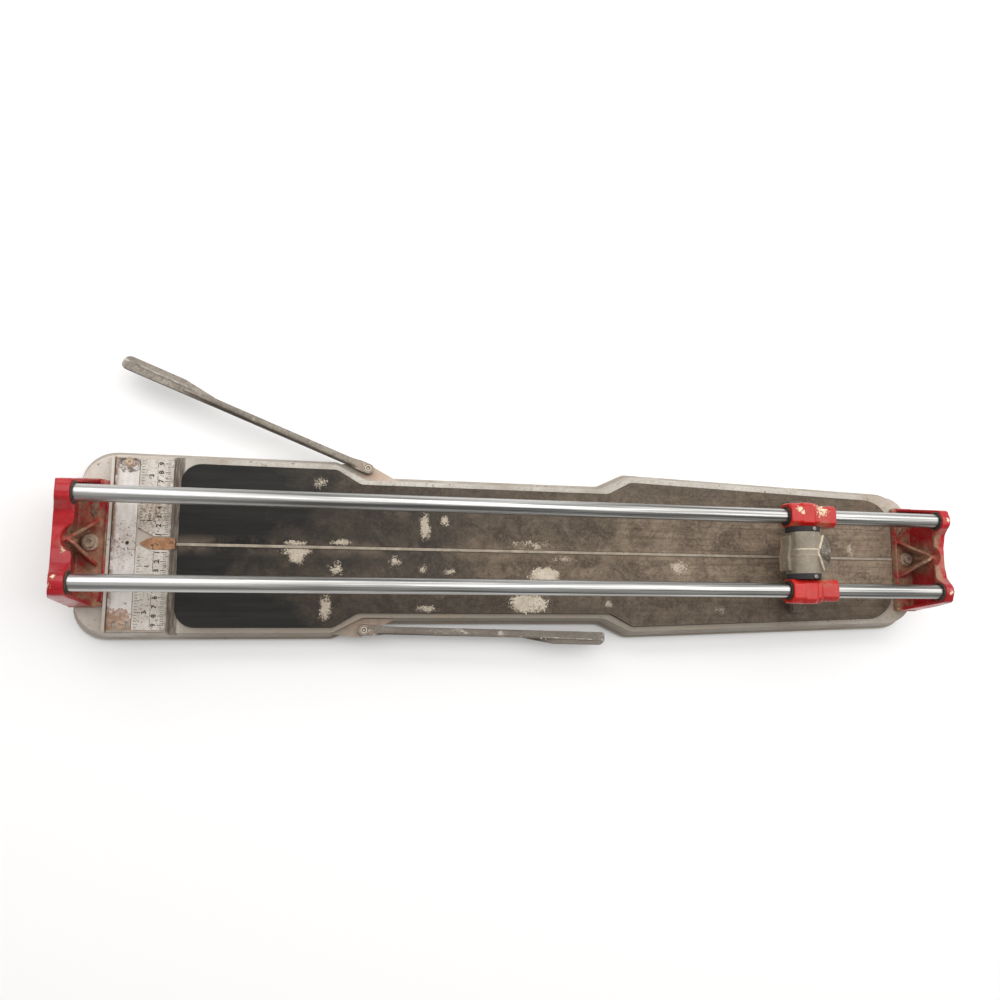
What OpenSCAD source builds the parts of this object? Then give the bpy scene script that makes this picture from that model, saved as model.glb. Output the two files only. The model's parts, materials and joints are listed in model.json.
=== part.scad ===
// Manual rail tile cutter.
// Origin: centre of the middle foot strip's underside, on the bench. +Z is up.
// +X runs along the rails from the scale end, +Y is the side with the swung-out arm.

/* [Base] */
// Height of the rim's top face above the bench
rim_z = 32; // [30:1:36]
// Height of the rubber bed's top face above the rim
bed_rise = 3; // [2:0.5:4]
// Distance from the centre to the left end of the base
base_left = 526; // [522:1:532]
// Distance from the centre to the right end of the base
base_right = 530; // [527:1:534]
// Half width of the base at the scale end
wide_half = 99; // [97:0.5:102]
// Half width of the base between the two arm recesses
waist_half = 81.5; // [79:0.5:83]
// Half width of the base just right of the arm recesses
shoulder_half = 98.4; // [96:0.2:101]
// Half width that the tapering sides reach at the right end
tail_half = 85.5; // [83:0.5:88]
// How far the side wall leans out between the rim and the bench
wall_flare = 7; // [4:1:9]

/* [Bed] */
// Half width of the bed at the scale end
bed_wide = 92.5; // [90:0.5:93]
// Half width of the bed between the arm recesses
bed_waist = 75.7; // [73:0.1:76]
// Distance from the centre to the left end of the bed
bed_left = 422; // [420:1:424]
// Distance from the centre to the right end of the bed
bed_right = 498; // [490:1:498]
// Thickness of the rib that the tile breaks over
rib_t = 3.5; // [3:0.5:4]

/* [Scale end] */
// Height of the scale shelf above the rim
shelf_h = 8; // [6:1:8]
// Distance from the centre to the shelf's edge that the tile rests against
fence_x = 429; // [427:1:430]
// Distance from the centre to the joint between fence bar and scale plates
plate_x = 464; // [460:1:468]
// Distance from the centre to the left edge of the fence bar
bar_x = 489; // [486:1:489]

/* [Rails] */
// Diameter of a rail
rail_d = 18; // [16:1:18]
// Distance between the rails' centrelines
rail_spacing = 91.4; // [90:0.2:93]
// Height of the rails' centrelines above the bench
rail_z = 106.3; // [106:0.1:109]
// Distance from the centre to the inner face of a stand's rail boss
boss_x = 508.7; // [507:0.1:510]

/* [Carriage] */
// X of the tilt axis, at the middle of the grey barrel, as stored
tilt_x = 315.5; // [300:0.5:320]
// Length of a slider along its rail
slider_len = 62.5; // [61:0.5:64]
// Diameter of the grey barrel
barrel_d = 41; // [40.5:0.5:42]
// Upward slope of the lever socket in degrees, as stored
socket_slope = 15; // [12:1:18]
// Radius of the lever socket's bore
socket_r = 8.1; // [8:0.05:8.3]

/* [Scoring wheel] */
// Diameter of the scoring wheel
wheel_d = 22; // [20:1:22]
// Height of the wheel's lowest point above the rim, as stored
wheel_gap = 12; // [12:0.5:14]

/* [Arms] */
// X of the two arm pivots
arm_x = -214.3; // [-216:0.1:-213]
// Distance of an arm pivot from the centreline
arm_y = 95.7; // [95:0.1:96.5]
// Length of the rear arm from its pivot to its tip
rear_arm_len = 299; // [285:1:299]
// Length of the front arm from its pivot to its tip
front_arm_len = 296; // [285:1:299]
// Angle of the rear arm from +X, swung out
rear_angle = 158.3; // [140:0.1:159]
// Angle of the front arm from +X, folded in
front_angle = -1.5; // [-3:0.5:0]

/* [Fits] */
// Radial clearance of running fits
running = 0.05; // [0.02:0.01:0.1]

/* [Hidden] */
$fn = 48;

eps = 0.01;
rail_r = rail_d / 2;
rail_y = rail_spacing / 2;
bed_z = rim_z + bed_rise;
pocket_z = rim_z - 2;
deck_z = rim_z - 8;
foot_strip_h = 5;
wall_bottom_z = 3;
shelf_z = rim_z + shelf_h;
foot_strip_x = 440;
fence_screw_x = -475;
fence_screw_y = 90;
fence_hole_x = -473;
fence_hole_r = 2.2;

// Stands, measured on the right-hand one; where two values are given, the second is the left one's
stand_ins = [499.5, 494];
stand_foot_t = 7;
stand_top_z = rim_z + stand_foot_t;
bolt_xs = [515, 510.5];
boss_r = 13;
boss_ends = [520, 522.5];
bore_end = 514.5;
screw_head_r = 5.5;
screw_head_h = 2.6;
bumper_t = 1.5;
bolt_r = 4;
washer_r = 9;
rail_end = bore_end - 0.1;
rail_hole_r = 3.1;

// Carriage, all at rest
axis_z = rail_z;
slider_x = tilt_x - 22;
slider_step_x = tilt_x + 16;
slider_in = 13.5;
wiper_t = 1.8;
cheek_in = 26;
cheek_out = rail_y - slider_in;
barrel_r = barrel_d / 2;
barrel_half = cheek_in - 0.3;
stub_r = 8;
stub_in = 13;
bush_r = 11;
wheel_r = wheel_d / 2;
wheel_x = tilt_x + 12;
wheel_z = rim_z + wheel_gap + wheel_r;
axle_r = 2.5;
shank_r = 5;
stem_z = rim_z + 36;
stem_back = tilt_x + 24;
foot_screw_y = 8;
foot_screw_zs = [stem_z + 5, stem_z + 16];
cheek_screw_x = tilt_x + 3;
cheek_screw_seat = 19.6;

// Arms
arm_t = 9;
arm_z = rim_z - 6.5;
ear_z = arm_z - 1;
arm_bore_r = 4 + running;

base_red = [0.80, 0.22, 0.22];
cast_grey = [0.74, 0.71, 0.67];
steel_grey = [0.66, 0.67, 0.69];
rubber_black = [0.17, 0.17, 0.16];

// ---------- outlines ----------

// The points of an arc of radius r that rounds the corner b between a and c
function corner(a, b, c, r) =
    let (
        u = (a - b) / norm(a - b),
        v = (c - b) / norm(c - b),
        half = acos(u * v) / 2,
        mid = (u + v) / norm(u + v),
        centre = b + mid * r / sin(half),
        start = b + u * r / tan(half) - centre,
        stop = b + v * r / tan(half) - centre,
        from = atan2(start.y, start.x),
        turn = (atan2(stop.y, stop.x) - from + 540) % 360 - 180,
        steps = max(2, ceil(abs(turn) / 10))
    )
    [for (i = [0:steps]) centre + r * [cos(from + turn * i / steps), sin(from + turn * i / steps)]];

// A closed outline through points [x, y, corner radius]
function rounded(points) =
    let (n = len(points))
    [
        for (i = [0:n - 1])
            let (
                before = points[(i + n - 1) % n],
                here = points[i],
                after = points[(i + 1) % n]
            )
            each (
                here[2] == 0
                    ? [[here.x, here.y]]
                    : corner([before.x, before.y], [here.x, here.y], [after.x, after.y], here[2])
            )
    ];

// Points given for y > 0 from left to right, with their mirror image below
function both_sides(points) = concat(
    points,
    [for (i = [len(points) - 1:-1:0]) [points[i].x, -points[i].y, points[i][2]]]
);

// The rear half of the base's edge, moved out by grow
function base_edge(grow = 0) = [
    [-base_left - grow, wide_half + grow, 37],
    [-251, wide_half + grow, 14],
    [-216, waist_half + grow, 14],
    [81, waist_half + grow, 14],
    [117, shoulder_half + grow, 14],
    [base_right + grow, tail_half + grow, 42]
];

// The rear half of the bed's edge, moved out by grow
function bed_edge(grow = 0) = [
    [-bed_left - grow, bed_wide + grow, 22],
    [-250, bed_wide + grow, 14],
    [-222, bed_waist + grow, 14],
    [89, bed_waist + grow, 14],
    [119, bed_wide - 0.8 + grow, 14],
    [bed_right + grow, bed_wide - 13.1 + grow, 40]
];

// A flat shape in X and Z, with its thickness t centred on y = 0
module side_plate(t) {
    rotate([90, 0, 0]) linear_extrude(height = t, center = true) children();
}

// A flat shape in Y and Z, drawn out along +X
module along_x(length) {
    rotate([90, 0, 90]) linear_extrude(height = length) children();
}

// A round bar along X from x0 to x1
module bar_x(x0, x1, r) {
    translate([x0, 0, 0]) rotate([0, 90, 0]) cylinder(r = r, h = x1 - x0);
}

// A round bar along Y from y0 to y1
module bar_y(y0, y1, r) {
    translate([0, y1, 0]) rotate([90, 0, 0]) cylinder(r = r, h = y1 - y0);
}

// Repeats a part on the rear side and, mirrored, on the front side
module each_side() {
    for (side = [0, 1]) mirror([0, side, 0]) children();
}

// Repeats a part on the right end and, mirrored, on the left end
module each_end() {
    for (end = [0, 1]) mirror([end, 0, 0]) children();
}

// Repeats a part at the two bolts that hold the stands
module each_bolt() {
    for (end = [0, 1]) mirror([end, 0, 0]) translate([bolt_xs[end], 0, 0]) children();
}

// ---------- base ----------

// The solid shape of the base before it is hollowed
module base_block() {
    block_h = rim_z - wall_bottom_z;
    edge = rounded(both_sides(base_edge()));
    spread = [1 + wall_flare / base_right, 1 + wall_flare / wide_half];
    translate([0, 0, rim_z]) mirror([0, 0, 1]) linear_extrude(height = block_h, scale = spread, slices = 1)
        polygon(edge);
}

// The lip that runs round the bottom of the side wall
module base_lip() {
    lip_h = 3;
    translate([0, 0, wall_bottom_z]) linear_extrude(height = lip_h)
        polygon(rounded(both_sides(base_edge(wall_flare + 1))));
}

// The cells between the ribs under the deck
module underside_cells() {
    cells = 13;
    web = 5;
    spine = 8;
    last = 497;
    pitch = (2 * last + web) / cells;
    intersection() {
        translate([0, 0, -eps]) linear_extrude(height = deck_z)
            polygon(rounded(both_sides(base_edge(-wall_flare))));
        for (i = [0:cells - 1]) each_side()
            translate([i * pitch - last, spine, 0]) cube([pitch - web, 120, deck_z]);
    }
}

// The cross beams that carry the foot strips
module foot_beams() {
    for (x = [-foot_strip_x, 0, foot_strip_x])
        translate([x - 14, -80, wall_bottom_z]) cube([28, 160, deck_z]);
}

// The three strips that stand on the bench
module foot_blocks() {
    strip_w = 20;
    strip_len = 140;
    for (x = [-foot_strip_x, 0, foot_strip_x])
        translate([x - strip_w / 2, -strip_len / 2, 0]) cube([strip_w, strip_len, foot_strip_h]);
}

// The lug under an arm, with its flat gusset against the recess wall
module arm_ear() {
    lug_t = 10;
    lug = [
        [-270, 90, 0], [-264, 97.5, 0], [-250, 101, 0], [arm_x - 3, 104.5, 6], [-172, 80, 0],
        [-220, 72, 0]
    ];
    translate([0, 0, ear_z - lug_t]) linear_extrude(height = lug_t) polygon(rounded(lug));
}

module base_casting() {
    pocket_gap = 0.8;
    ridge_x = -493.5;
    ridge_h = 11;
    color(cast_grey) difference() {
        union() {
            difference() {
                union() {
                    base_block();
                    base_lip();
                }
                difference() {
                    underside_cells();
                    foot_beams();
                }
            }
            each_side() arm_ear();
            translate([-bar_x, -wide_half + 2, deck_z])
                cube([bar_x - fence_x, 2 * wide_half - 4, shelf_z - deck_z]);
            translate([ridge_x, -wide_half + 2, rim_z - 1])
                cube([3, 2 * wide_half - 4, ridge_h + 1]);
        }
        translate([0, 0, pocket_z]) linear_extrude(height = 2 + eps)
            polygon(rounded(both_sides(bed_edge(pocket_gap))));
        translate([-bed_left - 2, -rib_t / 2, rim_z - 7])
            cube([bed_left + bed_right + 2, rib_t, 8]);
        foot_blocks();
        each_side() translate([arm_x, arm_y, 0]) cylinder(r = 3, h = rim_z);
        each_bolt() {
            cylinder(r = bolt_r + 0.2, h = rim_z + 1);
            cylinder(r = 8.2, h = 14, $fn = 6);
        }
        each_side() translate([fence_screw_x, fence_screw_y, rim_z]) cylinder(r = 2, h = 20);
        translate([fence_hole_x, 0, rim_z]) cylinder(r = fence_hole_r, h = 20);
    }
}

// Half of the rubber bed, on the rear side
module bed_half() {
    rib_gap = rib_t / 2 + 0.4;
    inner = [[bed_right, rib_gap, 0], [-bed_left, rib_gap, 0]];
    translate([0, 0, pocket_z]) linear_extrude(height = bed_z - pocket_z)
        polygon(rounded(concat(bed_edge(), inner)));
}

module rear_pad() {
    color(rubber_black) bed_half();
}

module front_pad() {
    color(rubber_black) mirror([0, 1, 0]) bed_half();
}

module breaking_rib() {
    color(steel_grey) translate([-bed_left - 2, -rib_t / 2, rim_z - 7])
        cube([bed_left + bed_right + 2, rib_t, bed_rise + 8]);
}

module foot_strips() {
    color(rubber_black) foot_blocks();
}

// ---------- scale end ----------

module fence_bar() {
    bar_t = 2.5;
    slot_half = 5;
    slot_r = 4.2;
    color([0.80, 0.79, 0.77]) difference() {
        translate([-bar_x, -wide_half + 4, shelf_z])
            cube([bar_x - plate_x - 0.5, 2 * wide_half - 8, bar_t]);
        each_side() translate([fence_screw_x, fence_screw_y, shelf_z - 1]) {
            for (x = [-slot_half, slot_half]) translate([x, 0, 0]) cylinder(r = slot_r, h = 5);
            translate([-slot_half, -slot_r, 0]) cube([2 * slot_half, 2 * slot_r, 5]);
        }
        translate([fence_hole_x, 0, shelf_z - 1]) cylinder(r = fence_hole_r, h = 5);
    }
}

module fence_screws() {
    color(steel_grey) each_side() translate([fence_screw_x, fence_screw_y, 0]) difference() {
        union() {
            translate([0, 0, rim_z + 1]) cylinder(r = 2, h = shelf_h + 1);
            translate([0, 0, shelf_z + 2.5]) cylinder(r = 5.6, h = 0.6);
            translate([0, 0, shelf_z + 1]) cylinder(r = 3.6, h = 3.6);
        }
        translate([0, 0, shelf_z + 3.2]) cylinder(r = 1.6, h = 2, $fn = 6);
    }
}

// A scale plate from its edge on the tongue's side outwards
module scale_plate(start_y, notch_x, notch_y) {
    plate = [
        [-plate_x, start_y + notch_y], [-plate_x, wide_half - 4], [-fence_x, wide_half - 4],
        [-fence_x, start_y], [-plate_x + notch_x, start_y]
    ];
    translate([0, 0, shelf_z]) linear_extrude(height = 2) polygon(plate);
}

module rear_scale_plate() {
    color([0.82, 0.80, 0.76]) scale_plate(8, 18, 10.5);
}

module front_scale_plate() {
    color([0.82, 0.80, 0.76]) mirror([0, 1, 0]) scale_plate(7.2, 13, -6);
}

module centre_tongue() {
    edge = [[-460, 0.6, 1], [-453, 4.6, 12], [-445, 7.2, 20], [-424, 6.3, 2]];
    color([0.47, 0.36, 0.28]) translate([0, 0, shelf_z + eps]) linear_extrude(height = 2.2)
        polygon(rounded(both_sides(edge)));
}

// ---------- stands ----------

// Front view of the stand's wall, rising to a boss on each side
function stand_front() = [
    [-70, rim_z, 0], [-58.7, rail_z + boss_r - 4, 6], [-40, rail_z + boss_r, 5],
    [-27, rail_z - 3, 9], [-12, rim_z + 66, 8],
    [12, rim_z + 66, 8], [27, rail_z - 3, 9],
    [40, rail_z + boss_r, 5], [58.7, rail_z + boss_r - 4, 6], [70, rim_z, 0]
];

// Side views of the two stands' walls, which lean in towards the rails at their tops
stand_sides = [
    [
        [525.5, rim_z + 1], [520, rim_z + 54], [boss_x, rim_z + 70], [boss_x, rim_z + 90],
        [519.5, rim_z + 90], [522, rim_z + 78], [527.5, rim_z + 64], [529.5, rim_z + 50],
        [530.5, rim_z + 1]
    ],
    [
        [525.5, rim_z + 1], [519, rim_z + 54], [boss_x, rim_z + 68], [boss_x, rim_z + 90],
        [522, rim_z + 90], [525.3, rim_z + 78], [530, rim_z + 64], [531, rim_z + 50],
        [530.5, rim_z + 1]
    ]
];

// The wall between the rail bosses, with the hollow above the bolt
module stand_wall(side_view) {
    hollow_x = 507.5;
    hollow_r = 14;
    difference() {
        intersection() {
            translate([500, 0, 0]) along_x(40) polygon(rounded(stand_front()));
            side_plate(145) polygon(side_view);
        }
        translate([hollow_x, 0, rim_z + 46]) cylinder(r = hollow_r, h = 30);
    }
}

// The sloping plate at each side, from a boss down to the foot
module stand_web() {
    lean = 8.4;
    web_t = 4;
    web = [
        [504.5, 0], [529.5, 0], [529, 46], [521, 80], [510, 80], [508, 60], [505, 10]
    ];
    translate([0, 71, rim_z + 1]) rotate([lean, 0, 0]) translate([0, -web_t / 2, 0])
        side_plate(web_t) polygon(web);
}

// The rib beside the bolt, which leans over it and slopes down to the foot's inner edge
module stand_rib() {
    spread = 34.8;
    lean = 14;
    rib = [[2, 1], [-1, 56], [-8, 57], [-14, 40], [-26, 15], [-29, 1]];
    translate([526, 11, rim_z]) rotate([0, 0, -spread]) rotate([lean, 0, 0]) side_plate(3.5)
        polygon(rib);
}

module stand(end) {
    inner_x = stand_ins[end];
    bolt_x = bolt_xs[end];
    boss_end = boss_ends[end];
    foot = [
        [inner_x, -69], [inner_x, 69], [504, 71], [529, 71], [529, -71], [504, -71]
    ];
    difference() {
        union() {
            translate([0, 0, rim_z]) linear_extrude(height = stand_foot_t) polygon(foot);
            translate([inner_x, -64, stand_top_z - eps]) cube([2.5, 128, 3.5]);
            stand_wall(stand_sides[end]);
            translate([517, -2, rim_z + 25]) cube([10, 4, 31]);
            each_side() {
                stand_web();
                stand_rib();
                translate([0, rail_y, rail_z]) bar_x(boss_x, boss_end, boss_r);
            }
            translate([bolt_x, 0, stand_top_z - eps]) cylinder(r = washer_r + 1, h = 2);
        }
        each_side() translate([0, rail_y, rail_z]) {
            bar_x(boss_x - 1, bore_end, rail_r + running);
            bar_x(bore_end - 1, boss_end + 1, rail_hole_r);
            bar_x(boss_end - screw_head_h, boss_end + 12, screw_head_r + 0.3);
        }
        translate([bolt_x, 0, rim_z - 1]) cylinder(r = bolt_r + 0.2, h = 14);
        translate([480, -100, 0]) cube([60, 200, rim_z]);
    }
}

module right_stand() {
    color(base_red) stand(0);
}

module left_stand() {
    color(base_red) mirror([1, 0, 0]) stand(1);
}

module stand_washers() {
    color([0.55, 0.47, 0.40]) each_bolt() translate([0, 0, stand_top_z + 2]) difference() {
        cylinder(r = washer_r, h = 2);
        translate([0, 0, -1]) cylinder(r = bolt_r + 0.3, h = 4);
    }
}

module stand_bolts() {
    head_z = stand_top_z + 4;
    color([0.50, 0.44, 0.38]) each_bolt() difference() {
        union() {
            translate([0, 0, 5]) cylinder(r = bolt_r, h = head_z - 5);
            translate([0, 0, head_z]) cylinder(r = 6, h = 4.5);
        }
        translate([0, 0, head_z + 1.5]) cylinder(r = 2.9, h = 5, $fn = 6);
    }
}

module stand_nuts() {
    color(steel_grey) each_bolt() translate([0, 0, 6]) difference() {
        cylinder(r = 8.1, h = 7, $fn = 6);
        translate([0, 0, -1]) cylinder(r = bolt_r, h = 10);
    }
}

// ---------- rails ----------

module rail() {
    translate([0, rail_y, rail_z]) difference() {
        bar_x(-rail_end, rail_end, rail_r);
        each_end() bar_x(rail_end - 22, rail_end + 1, rail_hole_r);
    }
}

module rear_rail() {
    color([0.78, 0.79, 0.81]) rail();
}

module front_rail() {
    color([0.78, 0.79, 0.81]) mirror([0, 1, 0]) rail();
}

// A screw into a rail's end, seated in the boss that ends at boss_end
module rail_screw(boss_end) {
    difference() {
        union() {
            bar_x(rail_end - 16, boss_end, rail_hole_r - 0.1);
            bar_x(boss_end - screw_head_h, boss_end + 0.3, screw_head_r);
        }
        translate([boss_end - 1.6, 0, 0]) rotate([0, 90, 0]) cylinder(r = 2.9, h = 5, $fn = 6);
    }
}

module rail_screws() {
    color(steel_grey) for (end = [0, 1]) mirror([end, 0, 0]) each_side()
        translate([0, rail_y, rail_z]) rail_screw(boss_ends[end]);
}

// The rubber ring that a slider meets at each end of its rail
module rail_bumpers() {
    color(rubber_black) each_end() each_side() translate([0, rail_y, rail_z]) difference() {
        bar_x(boss_x - bumper_t, boss_x, 12);
        bar_x(boss_x - bumper_t - 1, boss_x + 1, rail_r + running);
    }
}

// ---------- carriage ----------

// Octagon round a rail: inner face at -slider_in, outer face at out, top and bottom at up
function slider_shape(out, up, cut) = [
    [-slider_in, cut - up], [-slider_in, up - cut], [cut - slider_in, up], [out - cut, up],
    [out, up - cut], [out, cut - up], [out - cut, -up], [cut - slider_in, -up]
];

module slider() {
    saddle_x = tilt_x - 7;
    translate([0, rail_y, rail_z]) difference() {
        union() {
            translate([slider_x, 0, 0]) along_x(slider_step_x - slider_x)
                polygon(slider_shape(16, 14, 6));
            translate([slider_step_x - eps, 0, 0]) along_x(slider_x + slider_len - slider_step_x)
                polygon(slider_shape(13.3, 12.6, 5));
            translate([saddle_x, 0, 0]) along_x(16)
                polygon(slider_shape(16.6, 14.9, 5));
        }
        bar_x(slider_x - 1, slider_x + slider_len + 1, bush_r);
    }
}

module rear_slider() {
    color([0.85, 0.22, 0.18]) slider();
}

module front_slider() {
    color([0.85, 0.22, 0.18]) mirror([0, 1, 0]) slider();
}

module slider_bushes() {
    bush_len = 24;
    color([0.72, 0.58, 0.30]) each_side() translate([0, rail_y, rail_z])
        for (x = [slider_x + 1, slider_x + slider_len - 1 - bush_len]) difference() {
            bar_x(x, x + bush_len, bush_r);
            bar_x(x - 1, x + bush_len + 1, rail_r + running);
        }
}

module wiper_rings() {
    color(rubber_black) each_side() translate([0, rail_y, rail_z]) difference() {
        bar_x(slider_x - wiper_t, slider_x, 11.7);
        bar_x(slider_x - wiper_t - 1, slider_x + 1, rail_r + 0.3);
    }
}

// The disc between slider and barrel, with the stub that the barrel tilts on
module cheek() {
    disc_r = 20.3;
    difference() {
        translate([tilt_x, 0, axis_z]) {
            bar_y(cheek_in, cheek_out, disc_r);
            bar_y(stub_in, cheek_in + 1, stub_r);
        }
        translate([cheek_screw_x, (cheek_in + cheek_out) / 2, axis_z]) {
            translate([0, 0, 6]) cylinder(r = 1.5, h = 20);
            translate([0, 0, cheek_screw_seat]) cylinder(r = 2.6, h = 3);
        }
    }
}

module rear_cheek() {
    color(rubber_black) cheek();
}

module front_cheek() {
    color(rubber_black) mirror([0, 1, 0]) cheek();
}

module cheek_screws() {
    color(steel_grey) each_side()
        translate([cheek_screw_x, (cheek_in + cheek_out) / 2, axis_z]) difference() {
            union() {
                translate([0, 0, 8]) cylinder(r = 1.4, h = 12);
                translate([0, 0, cheek_screw_seat]) cylinder(r = 2.3, h = 1.6);
            }
            translate([0, 0, cheek_screw_seat + 0.8]) cylinder(r = 1.1, h = 2, $fn = 6);
        }
}

// ---------- tilting head ----------

// The gusset on the barrel's right side, pointed in plan and sloping down
module nose() {
    side = [
        [tilt_x + 4, rim_z + 91], [tilt_x + 20, rim_z + 89], [tilt_x + 31, rim_z + 84],
        [tilt_x + 38, rim_z + 75], [tilt_x + 39, rim_z + 66], [tilt_x + 35, rim_z + 60],
        [tilt_x + 4, rim_z + 60]
    ];
    plan = [
        [tilt_x + 4, -22, 0], [tilt_x + 21, -22, 5], [tilt_x + 31, -12, 10], [tilt_x + 42, 0, 8],
        [tilt_x + 31, 12, 10], [tilt_x + 21, 22, 5], [tilt_x + 4, 22, 0]
    ];
    intersection() {
        side_plate(60) polygon(side);
        translate([0, 0, rim_z + 30]) linear_extrude(height = 70) polygon(rounded(plan));
    }
}

// Places its children on the socket's axis, which then runs along +X
module on_socket() {
    translate([tilt_x, 0, axis_z]) rotate([0, -socket_slope, 0]) children();
}

// A raised rib from the centre band out to one side of the nose
module fork_rib() {
    translate([tilt_x + 8, 2.6, axis_z + 12]) rotate([0, 12, 65])
        translate([0, -1.4, 0]) cube([20, 2.8, 10]);
}

module carriage_body() {
    socket_end = 30;
    socket_in = 6;
    skirt = [
        [tilt_x - 24, rim_z + 58], [tilt_x - 22, rim_z + 54], [tilt_x - 12, rim_z + 54],
        [tilt_x - 12, rim_z + 78], [tilt_x - 25, rim_z + 78]
    ];
    color([0.52, 0.50, 0.46]) difference() {
        union() {
            translate([tilt_x, 0, axis_z]) {
                bar_y(-barrel_half, barrel_half, barrel_r);
                bar_y(-4, 4, barrel_r + 1.9);
            }
            nose();
            each_side() fork_rib();
            on_socket() bar_x(10, socket_end, 12);
            side_plate(2 * barrel_half - 8) polygon(skirt);
            translate([tilt_x + 2, -13, stem_z]) cube([22, 26, 40]);
        }
        translate([tilt_x, 0, axis_z]) each_side()
            bar_y(stub_in - 0.3, barrel_half + 1, stub_r + running);
        on_socket() bar_x(socket_in, socket_end + 30, socket_r);
        translate([wheel_x, 0, stem_z - 1]) cylinder(r = shank_r + 0.02, h = 24);
        translate([wheel_x, 0, stem_z + 12]) bar_y(-20, 0, 2.5);
        for (z = foot_screw_zs) each_side()
            translate([0, foot_screw_y, z]) bar_x(stem_back - 8, stem_back + 1, 2);
    }
}

module wheel_holder() {
    fork_half = 6;
    slot_half = 2.9;
    fork_z = wheel_z - 5;
    color([0.45, 0.45, 0.46]) difference() {
        union() {
            translate([wheel_x, 0, stem_z - 8]) cylinder(r = shank_r, h = 29);
            translate([wheel_x - 5, -fork_half, fork_z]) cube([10, 2 * fork_half, stem_z - fork_z]);
        }
        translate([wheel_x - 6, -slot_half, fork_z - 1])
            cube([12, 2 * slot_half, wheel_r + 7]);
        translate([wheel_x, 0, wheel_z]) bar_y(-10, 10, axle_r);
    }
}

module holder_screw() {
    color(steel_grey) translate([wheel_x, 0, stem_z + 12]) difference() {
        union() {
            bar_y(-13, -shank_r, 2.4);
            bar_y(-17, -13, 4.2);
        }
        translate([0, -14.5, 0]) rotate([90, 0, 0]) cylinder(r = 2, h = 4, $fn = 6);
    }
}

module wheel_axle() {
    color(steel_grey) translate([wheel_x, 0, wheel_z]) {
        bar_y(-6.6, 6.6, axle_r);
        bar_y(6, 7.6, 3.6);
    }
}

module scoring_wheel() {
    edge_r = wheel_r - 3;
    profile = [
        [axle_r + running, -2.5], [5, -2.5], [edge_r, -1.2], [wheel_r, 0],
        [edge_r, 1.2], [5, 2.5], [axle_r + running, 2.5]
    ];
    color([0.60, 0.58, 0.50]) translate([wheel_x, 0, wheel_z]) rotate([90, 0, 0])
        rotate_extrude($fn = 72) polygon(profile);
}

// The bar that presses on both sides of the scored line
module breaker_foot() {
    wing_half = 73;
    wing_z = rim_z + 14;
    wing_t = 8;
    gap = 9;
    color([0.22, 0.21, 0.20]) difference() {
        union() {
            translate([stem_back, -12, wing_z]) cube([8, 24, 42]);
            translate([stem_back, -gap - 1, wing_z]) cube([12, 2 * gap + 2, wing_t]);
            each_side() translate([tilt_x + 17, gap, wing_z]) cube([19, wing_half - gap, wing_t]);
        }
        for (z = foot_screw_zs) each_side()
            translate([0, foot_screw_y, z]) bar_x(stem_back - 1, stem_back + 9, 2.1);
    }
}

module foot_screws() {
    color(steel_grey) for (z = foot_screw_zs) each_side()
        translate([0, foot_screw_y, z]) difference() {
            union() {
                bar_x(stem_back - 7, stem_back + 8, 1.95);
                bar_x(stem_back + 8, stem_back + 10.5, 3.5);
            }
            translate([stem_back + 9, 0, 0]) rotate([0, 90, 0]) cylinder(r = 1.7, h = 3, $fn = 6);
        }
}

module breaker_pads() {
    color([0.30, 0.29, 0.27]) each_side() translate([tilt_x + 19, 38, rim_z + 11])
        cube([15, 32, 3]);
}

// ---------- arms ----------

// An arm along +X from its pivot, with its broad end on the -Y side
module arm(arm_len) {
    half = 4.6;
    eye = 6.3;
    broad = 11.2;
    edge = [
        [-6.5, eye, 5.5], [10, eye, 8], [24, half, 10], [arm_len, half, 4],
        [arm_len, -broad, 8], [230, -broad, 30], [190, -half, 30],
        [24, -half, 10], [10, -eye, 8], [-6.5, -eye, 5.5]
    ];
    difference() {
        linear_extrude(height = arm_t) polygon(rounded(edge));
        translate([0, 0, -1]) cylinder(r = arm_bore_r, h = arm_t + 2);
    }
}

module rear_arm() {
    color([0.62, 0.59, 0.55]) translate([arm_x, arm_y, arm_z]) rotate([0, 0, rear_angle])
        arm(rear_arm_len);
}

module front_arm() {
    color([0.62, 0.59, 0.55]) translate([arm_x, -arm_y, arm_z]) rotate([0, 0, front_angle])
        arm(front_arm_len);
}

module arm_washers() {
    color(steel_grey) each_side() translate([arm_x, arm_y, ear_z]) difference() {
        cylinder(r = 6, h = 0.7);
        translate([0, 0, -1]) cylinder(r = 4.1, h = 3);
    }
}

// Shoulder screws: the arm turns on the shoulder, and the thread goes into the ear
module arm_screws() {
    head_z = arm_z + arm_t + 0.3;
    color([0.60, 0.55, 0.50]) each_side() translate([arm_x, arm_y, 0]) difference() {
        union() {
            translate([0, 0, ear_z - 9]) cylinder(r = 2.95, h = 10);
            translate([0, 0, ear_z]) cylinder(r = 4, h = head_z - ear_z);
            translate([0, 0, head_z]) cylinder(r = 5.6, h = 2.6);
        }
        translate([0, 0, head_z + 1]) cylinder(r = 2.5, h = 3, $fn = 6);
    }
}

base_casting();
rear_pad();
front_pad();
breaking_rib();
foot_strips();
fence_bar();
fence_screws();
rear_scale_plate();
front_scale_plate();
centre_tongue();
left_stand();
right_stand();
stand_washers();
stand_bolts();
stand_nuts();
rear_rail();
front_rail();
rail_screws();
rail_bumpers();
rear_slider();
front_slider();
slider_bushes();
wiper_rings();
rear_cheek();
front_cheek();
cheek_screws();
carriage_body();
wheel_holder();
holder_screw();
wheel_axle();
scoring_wheel();
breaker_foot();
foot_screws();
breaker_pads();
rear_arm();
front_arm();
arm_washers();
arm_screws();
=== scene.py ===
import json
import math
import random

import bpy
import bmesh
import numpy as np
from mathutils import Matrix, Vector, noise


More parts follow.
